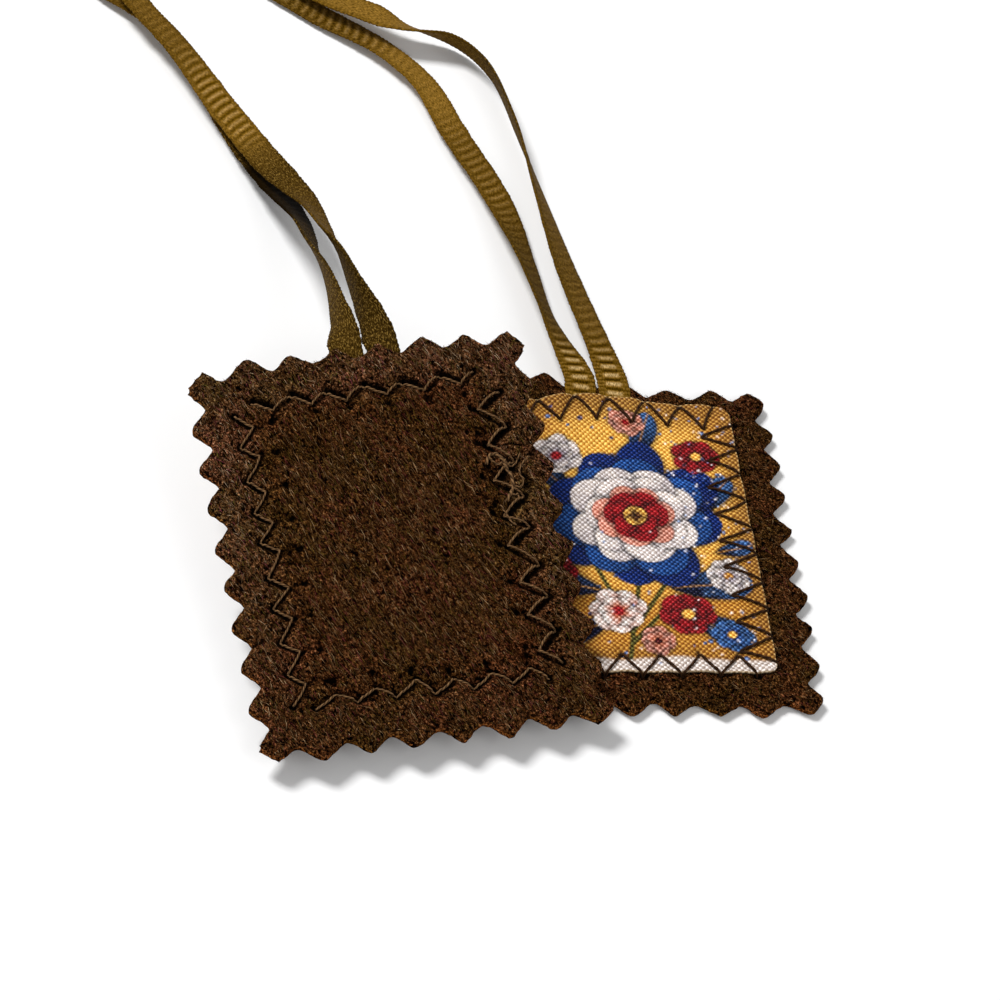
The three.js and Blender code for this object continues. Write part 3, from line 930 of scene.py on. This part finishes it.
def add_nap(side, pattern, shape, material):
    rng = np.random.default_rng(SEEDS[side]["nap"])
    points, faces, tones = [], [], []
    first = 0
    for facing, wanted in zip((1, -1), LOOKS[side]["fibres"]):
        places, tone = nap_fibres(side, pattern, shape, facing, wanted, rng)
        starts = first + np.arange(len(tone)) * FIBRE_POINTS
        points.append(panel_points(PANELS[side], *places.T))
        faces.append((FIBRE_FACES[:, ::facing] + starts[:, None, None]).reshape(-1, 3))
        tones.append(np.repeat(tone, FIBRE_POINTS, 0))
        first += len(places)
    return mesh_object(f"nap_{side}", np.concatenate(points), np.concatenate(faces), material,
                       {"tone": np.concatenate(tones)})


# Sewing thread

def tube(line, radius, twist):
    """A closed tube round a line of points, its section pinched to two plies that twist along it, painted
    light on the plies and painted shade between them.
    """
    tangent = unit(np.gradient(line, axis=0))
    side = unit(np.cross(tangent, TUBE_UP))
    up = np.cross(side, tangent)
    run = run_along(line)
    angle = np.linspace(0, TAU, TUBE_SIDES, endpoint=False)[None]
    ply = np.abs(np.cos(angle - twist * run[:, None]))
    uneven = waves(run, line[:, 0], 0.8, 81)[:, None]
    r = radius * (0.7 + 0.4 * ply + 0.07 * uneven)
    points = (line[:, None] + side[:, None] * (np.cos(angle) * r)[..., None]
              + up[:, None] * (np.sin(angle) * r)[..., None]).reshape(-1, 3)
    painted_ply_shade = np.clip(ply**1.4 * (0.82 + 0.26 * uneven), 0, 1).ravel()
    faces = grid_faces(len(line), TUBE_SIDES, closed=True)
    first, last = np.full((2, TUBE_SIDES), len(points)) + [[0], [1]]
    ring = np.arange(TUBE_SIDES)
    after = (ring + 1) % TUBE_SIDES
    end = (len(line) - 1) * TUBE_SIDES
    triangles = np.concatenate([
        faces[:, [2, 1, 0]], faces[:, [3, 2, 0]],
        np.stack([first, ring, after], -1), np.stack([last, end + after, end + ring], -1),
    ])
    return np.vstack([points, line[0], line[-1]]), triangles, np.r_[painted_ply_shade, 0.3, 0.3]


class Threads:
    """The tubes of one seam in one mesh, on one face of a panel."""

    def __init__(self, side, facing):
        self.side, self.facing, self.seam = side, facing, SEAMS[side][facing]
        self.points, self.faces, self.strands, self.count = [], [], [], 0

    def add(self, u, v, w, radius, twist):
        points, faces, painted_ply_shade = tube(panel_points(PANELS[self.side], u, v, w), radius, twist)
        self.points.append(points)
        self.faces.append(faces + self.count)
        self.strands.append(painted_ply_shade)
        self.count += len(points)

    def build(self, material):
        name = f"seam_{self.side}_{'front' if self.facing > 0 else 'back'}"
        return mesh_object(name, np.concatenate(self.points), np.concatenate(self.faces), material,
                           {"painted_ply_shade": np.concatenate(self.strands)})


def bowed_leg(a, b, bow, count):
    """A stitch from a to b that bows to its left: how far along it each place is, and u and v."""
    t = np.linspace(0, 1, count)
    across = np.array([-(b - a)[1], (b - a)[0]]) / np.linalg.norm(b - a)
    return t, *(a[None] + (b - a)[None] * t[:, None] + across[None] * (bow * np.sin(math.pi * t))[:, None]).T


TUBE_SIDES = 8
TUBE_UP = (0.13, 0.21, 0.97)
THREAD_RADIUS = 0.17
BOBBIN_RADIUS = 0.135
TANGLE_RADIUS = 0.12
THREAD_TWIST = 3.2
BOBBIN_TWIST = 5
TANGLE_TWIST = 4
FRONT_BOW_SEED = 3
FRONT_BOWS = (0.16, 0.1)  # how far the stitches that run inwards, and those outwards, bow to their left
BACK_BOW_SEED = 9
# The same on the back: how far they bow, how high they rise and their share of the radius
BACK_LEGS = ((0.22, 0.1, 1.0), (-0.12, 0.08, 0.85))
WELL_INSIDE = 3.0  # a depth at which the felt has its full thickness
# Loops of spare bobbin thread on the back of the panel that is face down, as (u, v)
TANGLE = [
    [(-12.3, 33.8), (-12.8, 34.7), (-13.6, 35.0), (-14.2, 34.3), (-14.6, 33.3), (-14.9, 32.2), (-14.9, 30.9),
     (-14.4, 29.9), (-13.8, 29.0)],
    [(-16.6, 34.8), (-16.1, 34.2), (-15.6, 33.6), (-15.2, 33.5), (-14.6, 33.9), (-14.1, 34.9)],
    [(-17.5, 34.2), (-16.7, 33.6), (-16.2, 33.0), (-15.9, 32.2), (-16.2, 31.2), (-15.7, 30.6),
     (-15.1, 30.9)],
    [(-12.6, 34.6), (-13.1, 34.0), (-13.6, 33.7), (-14.2, 33.8), (-14.7, 34.2)],
    [(-12.9, 28.6), (-13.2, 27.9), (-13.5, 27.3), (-13.8, 26.4), (-14.2, 25.8)],
    [(-14.9, 30.6), (-14.4, 30.2), (-14.8, 29.7), (-15.3, 29.9), (-15.2, 29.2)],
]


def patch_surface(u, v):
    """w of the middle of the patch's cloth: down at the seam, over the ribbon ends, loose in the middle."""
    half_pair = (RIBBON_SPACING + RIBBON_WIDTH) / 2 + RISE_MARGIN
    past_pair = np.abs(u - RIBBON_PAIR_CENTRE) - half_pair
    below_ends = PATCH_TOP - RIBBON_TUCK - RISE_MARGIN - v
    rise = (1 - smoothstep(past_pair, 0, RISE_RUN)) * (1 - smoothstep(below_ends, 0, RISE_RUN))
    inside = np.minimum(PATCH_WIDTH / 2 - np.abs(u), np.minimum(v - PATCH_BOTTOM, PATCH_TOP - v))
    loose = smoothstep(inside, 2.5, 8) * (0.16 + 0.07 * waves(u, v, 13, 41))
    return FELT_WALL / 2 + PATCH_LIFT + rise * (RIBBON_CLOTH + RIBBON_ROOM) + loose


def add_front_seam(side, material):
    threads = Threads(side, 1)
    rng = np.random.default_rng(FRONT_BOW_SEED)
    for (starts, ends), bow in zip(threads.seam.legs(), FRONT_BOWS):
        for a, b in zip(starts, ends):
            t, u, v = bowed_leg(a, b, rng.normal(0, 0.07) + bow, 15)
            inside = (np.abs(u) < PATCH_WIDTH / 2) & (v > PATCH_BOTTOM) & (v < PATCH_TOP)
            ground = np.where(inside, patch_surface(u, v) + PATCH_CLOTH / 2, FELT_WALL / 2 + 0.06)
            ground = np.convolve(np.pad(ground, 2, mode="edge"), np.ones(5) / 5, mode="valid")
            dip = 0.75 * np.exp(-((np.minimum(t, 1 - t) / 0.055) ** 2))
            w = ground + THREAD_RADIUS * 0.6 - dip + 0.05 * np.sin(math.pi * t)
            threads.add(u, v, w, THREAD_RADIUS, THREAD_TWIST)
    return threads.build(material)


def add_back_seam(side, shape, material):
    threads = Threads(side, -1)
    rng = np.random.default_rng(BACK_BOW_SEED)
    for (starts, ends), (bow, rise, thick) in zip(threads.seam.legs(), BACK_LEGS):
        radius = BOBBIN_RADIUS * thick
        for a, b in zip(starts, ends):
            t, u, v = bowed_leg(a, b, rng.normal(0, 0.05) + bow, 17)
            w, _ = shape.height(u, v, WELL_INSIDE, -1)
            w = w - rise * np.sin(math.pi * t) - radius * rng.uniform(-0.3, 0.6)
            threads.add(u, v, w, radius, BOBBIN_TWIST)
    if side == "face_down":
        for k, points in enumerate(TANGLE):
            u, v = curve_points(points, np.linspace(0, 1, 8 * len(points))).T
            w, _ = shape.height(u, v, WELL_INSIDE, -1)
            w = w - 0.08 - 0.12 * np.abs(np.sin(np.arange(len(u)) * 0.4))
            threads.add(u, v, w, TANGLE_RADIUS * (1.5 if k == 0 else 0.85), TANGLE_TWIST)
    return threads.build(material)


# The print: a made-up bouquet on gold

GOLD = rgb(206, 152, 62)
OLD_GOLD = rgb(158, 116, 54)
GLOW = rgb(252, 206, 104)
BLUE = rgb(14, 52, 130)
SKY = rgb(40, 92, 166)
PALE_BLUE = rgb(80, 130, 196)
RED = rgb(172, 30, 40)
PINK = rgb(232, 172, 156)
WHITE = rgb(246, 241, 240)
BROWN = rgb(104, 60, 26)
GREEN = rgb(92, 88, 34)
ROSE = rgb(206, 128, 96)
NAVY = rgb(5, 14, 52)
DEEP_RED = rgb(84, 6, 18)
SHADED_WHITE = rgb(158, 150, 166)
PRINT_SEED = 12
GLOW_CENTRE = (1.2, 27)
RAYS = 34
STARS = 90
GLINTS = 420
LIGHT_FROM = (-0.6, 0.8)
PETAL_WIDEST = 0.6
PETAL_SHADOW = 0.8

# The large flower: its heart, and its rings from the outside in, each with its petals, how far out they
# reach, half width, light and dark
LARGE_HEART = (1.2, 23.6)
LARGE_FLOWER = [
    (8, 11.6, 3.5, BLUE, NAVY), (7, 10.0, 3.3, SKY, NAVY), (8, 8.3, 2.8, WHITE, SHADED_WHITE),
    (7, 6.7, 2.5, WHITE, SHADED_WHITE), (7, 5.2, 2.0, PINK, ROSE), (6, 4.1, 1.8, RED, DEEP_RED),
    (5, 2.8, 1.4, RED * 1.15, DEEP_RED), (5, 1.5, 0.8, GLOW, BROWN),
]
# Smaller flowers: u, v from the patch's bottom, size, light and dark petals, heart
SMALL_FLOWERS = [
    (9.8, 33.4, 3.0, RED, DEEP_RED, GLOW), (-7.6, 33.0, 3.3, WHITE, SHADED_WHITE, RED),
    (11.2, 14.4, 2.7, WHITE, SHADED_WHITE, GOLD), (-9.6, 15.0, 3.0, RED, DEEP_RED, WHITE),
    (5.6, 8.4, 3.4, RED, DEEP_RED, GLOW), (-2.6, 8.8, 3.5, WHITE, ROSE, RED),
    (1.6, 38.2, 2.3, PINK, ROSE, RED), (10.4, 5.4, 2.5, PALE_BLUE, BLUE, GLOW),
    (-9.4, 5.6, 2.4, WHITE, SHADED_WHITE, BLUE), (1.6, 4.4, 2.2, PINK, ROSE, DEEP_RED),
]
# Leaves: where each starts, its heading, length and half width
LEAVES = [
    (4.6, 12.5, 0.1, 9.5, 2.3), (-4.5, 12.0, 2.9, 9.5, 2.2), (6.0, 8.0, -0.5, 8.0, 1.9),
    (-4.2, 7.0, 3.5, 8.5, 1.9), (2.3, 33.0, 1.25, 7.5, 1.7), (9.0, 24.5, 0.9, 7.0, 1.7),
    (-6.5, 27.0, 2.2, 7.5, 1.7), (10.5, 18.0, 0.3, 4.5, 1.2),
]
STEMS = [
    [(1.5, 24), (1.0, 16), (-0.5, 9), (-2.0, 1.5)], [(9.8, 31), (8.5, 22), (3.5, 13), (-1.0, 6)],
    [(-7.6, 31), (-6.0, 20), (-3.2, 12), (-1.2, 5)], [(10.8, 14), (7.0, 11.5), (2.5, 8.5), (-1.4, 4)],
]


def stroke(u, v, points, radius):
    """1 on a line through the points, else 0, with a soft edge."""
    gap = near_segments(u, v, points[:-1], points[1:])
    return 1 - smoothstep(gap, radius - 0.12, radius + 0.12)


class Painting:
    """The colour of the printed cloth at each place (u, v), painted from the ground up."""

    def __init__(self, u, v):
        self.u, self.v = u, v
        self.rng = np.random.default_rng(PRINT_SEED)
        self.colour = np.broadcast_to(GOLD, (len(u), 3)).copy()

    def paint(self, tone, mask):
        self.colour = mix(self.colour, tone, mask[:, None])

    def petal(self, a, b, turn, length, width, light, dark):
        """A petal or leaf from (a, b): dark at its foot and on its far side, with a soft rim."""
        c, s = math.cos(turn), math.sin(turn)
        along, across = (self.u - a) * c + (self.v - b) * s, -(self.u - a) * s + (self.v - b) * c
        reach = PETAL_SHADOW + 0.2
        near = np.flatnonzero((along > -reach) & (along < length + reach) & (np.abs(across) < width + reach))
        along, across = along[near], across[near]
        place = np.clip(along / length, 0, 1)
        foot = mix(0.25, 1, np.sin(0.5 * math.pi * np.minimum(place / PETAL_WIDEST, 1)))
        tip = np.sqrt(np.clip(1 - (np.maximum(place - PETAL_WIDEST, 0) / (1 - PETAL_WIDEST)) ** 2, 0, 1))
        half = width * foot * tip
        depth = half - np.abs(across) - np.abs(along - place * length)
        shadow = 0.5 * smoothstep(depth, -PETAL_SHADOW, 0.1)[:, None]
        below = self.colour[near] * (1 - shadow)
        side = np.clip(across / (half + 0.05), -1, 1) * (-s * LIGHT_FROM[0] + c * LIGHT_FROM[1])
        lit = smoothstep(place, 0.1, 0.85) * 0.85 + 0.3 * side + 0.02
        lit += 0.16 * waves(across * 2.6, along * 0.35, 1.5, 51)
        lit += 0.1 * waves(self.u[near], self.v[near], 2.3, 55)
        lit = np.clip(lit, 0, 1.15)[:, None]
        tone = mix(dark, light, lit) * (1 - 0.3 * (1 - smoothstep(depth, 0.0, 0.3)))[:, None]
        mask = smoothstep(depth, -0.1, 0.12)[:, None]
        self.colour[near] = mix(below, tone, mask)

    def ring(self, a, b, count, reach, width, light, dark, start=0.12):
        first = self.rng.uniform(0, TAU)
        for k in range(count):
            turn = first + TAU * (k + self.rng.normal(0, 0.09)) / count
            length = reach * self.rng.uniform(0.88, 1.04)
            foot = start * reach
            shade = self.rng.uniform(0.86, 1.08)
            self.petal(a + foot * math.cos(turn), b + foot * math.sin(turn), turn, length - foot,
                       width * self.rng.uniform(0.88, 1.1), light * shade, dark)


def print_colours(u, v):
    """A made-up bouquet on gold, with painted glints: the colour of the printed cloth at each place (u, v)
    of the patch.
    """
    v = v - PATCH_BOTTOM
    painting = Painting(u, v)
    paint, rng = painting.paint, painting.rng
    from_u, from_v = u - GLOW_CENTRE[0], v - GLOW_CENTRE[1]
    glow = 1 - smoothstep(np.hypot(from_u, from_v * 0.8), 8.5, 15.5)
    paint(GLOW, glow * (0.86 + 0.14 * waves(u, v, 2.2, 52)).clip(0, 1))
    rays = 0.5 + 0.5 * np.cos(RAYS * np.arctan2(from_v, from_u))
    paint(GLOW * 1.05, 0.25 * rays * (1 - smoothstep(np.hypot(from_u, from_v), 12, 19)))
    border = smoothstep(np.maximum(np.abs(u) / 15.1, np.abs(v - 21) / 21), 0.72, 1.0)
    paint(OLD_GOLD, 0.8 * border)
    paint(BROWN, 0.3 * smoothstep(waves(u, v, 1.6, 53), 0.5, 1.6) * (0.3 + 0.7 * border))
    # Small blue stars and dots on the gold
    for _ in range(STARS):
        a, b = rng.uniform(-14.6, 14.6), rng.uniform(1, 41.5)
        size = rng.uniform(0.14, 0.4)
        tone = BLUE if rng.uniform() < 0.45 else PALE_BLUE
        gap = np.hypot(u - a, v - b) / size
        paint(tone, (1 - smoothstep(gap, 0.7, 1.2)) * 0.85)
    for points in STEMS:
        paint(GREEN, stroke(u, v, points, 0.28))
    for a, b, turn, length, width in LEAVES:
        painting.petal(a, b, turn, length, width, PALE_BLUE * 0.8, NAVY)
        tip = (a + length * math.cos(turn), b + length * math.sin(turn))
        paint(GOLD, 0.8 * stroke(u, v, [(a, b), tip], 0.1))
    for count, reach, width, light, dark in LARGE_FLOWER:
        painting.ring(*LARGE_HEART, count, reach, width, light, dark)
    for a, b, size, light, dark, heart in SMALL_FLOWERS:
        painting.ring(a, b, 7, size, 0.4 * size, light, dark)
        painting.ring(a, b, 6, 0.66 * size, 0.3 * size, light, dark)
        paint(heart, 1 - smoothstep(np.hypot(u - a, v - b), 0.16 * size, 0.26 * size))
    # A pale strip along the bottom
    paint(WHITE * 0.9, (1 - smoothstep(v + 0.3 * waves(u, v, 9, 54), 1.5, 2.1)) * 0.9)
    # Painted glints of white and blue light, most of them near the right
    for _ in range(GLINTS):
        a, b = rng.uniform(-15, 15), rng.uniform(0, 42)
        if rng.uniform() > 0.16 + 0.84 * (a > 6):
            continue
        tone = (1.35, 1.35, 1.4) if rng.uniform() < 0.6 else (0.25, 0.45, 0.85)
        paint(tone, np.exp(-(((u - a) ** 2 + (v - b) ** 2) / rng.uniform(0.1, 0.18) ** 2)) * 0.85)
    return np.clip(painting.colour, 0, 1.4)


CORNER_ROUND = 1.2
TOP_RIGHT_ROUND = 2.4
PATCH_BACK = rgb(196, 180, 150)
PATCH_FRAY = rgb(214, 190, 140)


def add_patch(side, material):
    cell = LOOKS[side]["cell"]
    rows, columns = round(PATCH_HEIGHT / cell) + 1, round(PATCH_WIDTH / cell) + 1
    s, t = (grid.ravel() for grid in np.meshgrid(np.linspace(-1, 1, columns), np.linspace(-1, 1, rows)))
    half_u, half_v = PATCH_WIDTH / 2, PATCH_HEIGHT / 2
    from_u, from_v = (1 - np.abs(s)) * half_u, (1 - np.abs(t)) * half_v
    from_edge = np.minimum(from_u, from_v)
    # Rounded corners and an edge that the seam draws in a little
    rounding = np.where((s > 0) & (t > 0), TOP_RIGHT_ROUND, CORNER_ROUND)
    corner = np.hypot(np.maximum(rounding - from_u, 0), np.maximum(rounding - from_v, 0))
    over = np.maximum(corner - rounding, 0) * 0.7
    u, v = s * half_u - np.sign(s) * over, PATCH_BOTTOM + half_v + t * half_v - np.sign(t) * over
    edge = 1 - smoothstep(from_edge, 0, 2)
    u, v = u + 0.09 * edge * waves(u, v, 4.3, 61), v + 0.09 * edge * waves(u, v, 4.3, 62)
    printed = print_colours(u, v)
    v = v - slack(u, v)
    seam = SEAMS[side][1]
    gap = seam.gap(u, v)
    w = patch_surface(u, v) - 0.16 * near_points(u, v, seam.holes, 0.5) - 0.07 * dent(gap, 0.45)
    w += 0.1 * ridge(gap, 0.4, 1.3, 3.0)
    w += 0.05 * edge * waves(u, v, 2.6, 63)
    points = [panel_points(PANELS[side], u, v, w + layer * PATCH_CLOTH / 2) for layer in (-1, 1)]
    # Painted shade round the needle holes
    colour = printed * (1 - 0.8 * near_points(u, v, seam.holes, 0.3))[:, None]
    colour = mix(PATCH_FRAY, colour, 0.35 + 0.65 * smoothstep(from_edge, 0.0, 0.22)[:, None])
    colours = {"print": np.concatenate([np.broadcast_to(PATCH_BACK, colour.shape), colour])}
    patch = mesh_object(f"patch_{side}_cloth", np.concatenate(points), sheet_faces(rows, columns), material,
                        colours, uv=np.tile(np.stack([u, v], -1), (2, 1)))
    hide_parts(f"patch_{side}")
    return patch


# Ribbons

RIB_PITCH = 1.5
RIB_LEAN = 0.4  # how far the ripples run on along the ribbon for each mm across it
EDGE_PITCH = 0.62
SEWN_END = (17, 10)  # how far from the ribbon's end its strong bars start and are full
RIBBON_STEP = 0.2
RIBBON_COLUMNS = (-1, -0.93, -0.8, -0.62, -0.4, -0.14, 0.14, 0.4, 0.62, 0.8, 0.93, 1)
# Painted shade and ripple of each ribbon at some places along it: run, shade (darker where it is turned from
# the light), ripple
RIBBON_SHADE_AND_RIPPLE = {
    "ribbon_left": [
        (0, 0.25, 0.3), (24, 0.27, 0.2), (36, 0.22, 0.1), (43, 0.06, 0), (56, 0.06, 0), (64, 0.4, 0.3),
        (90, 0.7, 0.4), (290, 0.7, 0.4), (303, 0.55, 0.8), (316, 0.7, 0.9), (322, 1.1, 0.2),
        (332, 1.15, 0.1), (341, 0.75, 0.6), (353, 0.75, 0.7), (361, 0.5, 0.4), (376, 0.5, 0.3),
        (384, 0.95, 1), (396, 1, 1),
    ],
    "ribbon_right": [
        (0, 0.21, 0.5), (20, 0.2, 0.5), (30, 0.36, 0.1), (37, 0.62, 0), (43, 0.4, 0), (52, 0.27, 0),
        (57, 0.5, 0.1), (62, 1, 0.8), (72, 1, 1), (82, 0.75, 0.4), (95, 0.75, 0.2), (290, 0.75, 0.3),
        (304, 0.95, 0.1), (317, 1.1, 0), (326, 0.6, 0), (334, 0.28, 0), (346, 0.45, 0.1), (360, 0.7, 0.2),
        (374, 0.6, 0.3), (386, 0.8, 0.6), (392, 1, 1), (400, 1, 1),
    ],
}


def add_ribbon(name, material):
    line = RibbonLine(ROUTES[name], RIBBON_STEP)
    run, a = np.meshgrid(line.run, np.array(RIBBON_COLUMNS) * RIBBON_WIDTH / 2, indexing="ij")
    # Strong bars at the end that is sewn to the panel face up, and soft arched ripples elsewhere
    end = smoothstep(run, line.length - SEWN_END[0], line.length - SEWN_END[1])
    middle = 1 - smoothstep(np.abs(a), mix(1.3, 1.0, end), mix(1.7, 1.3, end))
    arched = run + (1 - end) * (RIB_LEAN * a + 0.35 * (a / 2) ** 2 + 0.2 * waves(run, a, 11, 75))
    rib = (0.5 + 0.5 * np.cos(TAU * arched / RIB_PITCH)) ** mix(0.9, 0.6, end)
    bead = 0.5 * np.cos(TAU * run / EDGE_PITCH + 2.0 * np.sign(a))
    at, shade, ripple = np.array(RIBBON_SHADE_AND_RIPPLE[name], float).T
    shade, ripple = np.interp(run, at, shade), np.interp(run, at, ripple)
    strength = mix(0.5 * ripple, 1.0, end)
    tone = middle * mix(0.55, rib, strength) + (1 - middle) * (0.44 + mix(0.1, 0.3, end) * bead)
    relief = middle * (rib - 0.5) * mix(0.05, 0.1, end) + 0.05 * (1 - middle) * bead
    half = RIBBON_CLOTH / 2 * (1 - 0.45 * smoothstep(np.abs(a), 1.75, 2.0))
    # The whole ribbon wanders a little, and its edges are beaded and uneven
    side = np.sign(a)
    ragged = 0.05 * bead + 0.05 * waves(run, side * 9, 3.1, 74) + 0.055 * waves(run, side * 5, 0.8, 76)
    out = a + side * smoothstep(np.abs(a), 1.7, 2.0) * ragged
    out += 0.07 * waves(run, a * 0 + 3, 37, 71) + 0.04 * waves(run, a * 0 + 3, 9, 72)
    points = np.concatenate([
        (line.points[:, None] + line.edgewise[:, None] * out[..., None]
         + line.outward[:, None] * (facing * (half + relief))[..., None]).reshape(-1, 3)
        for facing in (-1, 1)
    ])
    # Painted shade along the ribbon, yellower where it is darker
    painted_shade = shade.ravel()[:, None] ** (1, 1.03, 1.25)
    ribbon = mesh_object(f"{name}_cloth", points, sheet_faces(*run.shape), material,
                         {"rib": np.tile(tone.ravel(), 2), "painted_shade": np.tile(painted_shade, (2, 1))},
                         uv=np.tile(np.stack([a.ravel(), run.ravel()], -1), (2, 1)))
    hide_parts(name)


def build():
    aim_camera()
    olive = ribbon_material()
    for name in ROUTES:
        add_ribbon(name, olive)
    wool, nap = felt_material(), nap_material()
    dark_thread = thread_material("thread_brown", rgb(22, 12, 5), rgb(74, 49, 30), 0.6)
    bobbin_thread = thread_material("thread_tan", rgb(22, 10, 3), rgb(146, 110, 74), 0.7)
    printed = patch_material()
    for side in PANELS:
        felt, pattern, shape = add_felt(side, wool)
        sewn = [add_nap(side, pattern, shape, nap), add_front_seam(side, dark_thread),
                add_back_seam(side, shape, bobbin_thread)]
        patch = add_patch(side, printed)
    add_floor(floor_material())
    for light in LIGHTS:
        area_light(*light)
    world = bpy.data.worlds.new("studio")
    world.use_nodes = True
    background = world.node_tree.nodes["Background"]
    background.inputs["Color"].default_value = (1, 1, 1, 1)
    background.inputs["Strength"].default_value = SKY_STRENGTH
    bpy.context.scene.world = world
    bpy.context.scene.view_settings.view_transform = "Standard"


build()
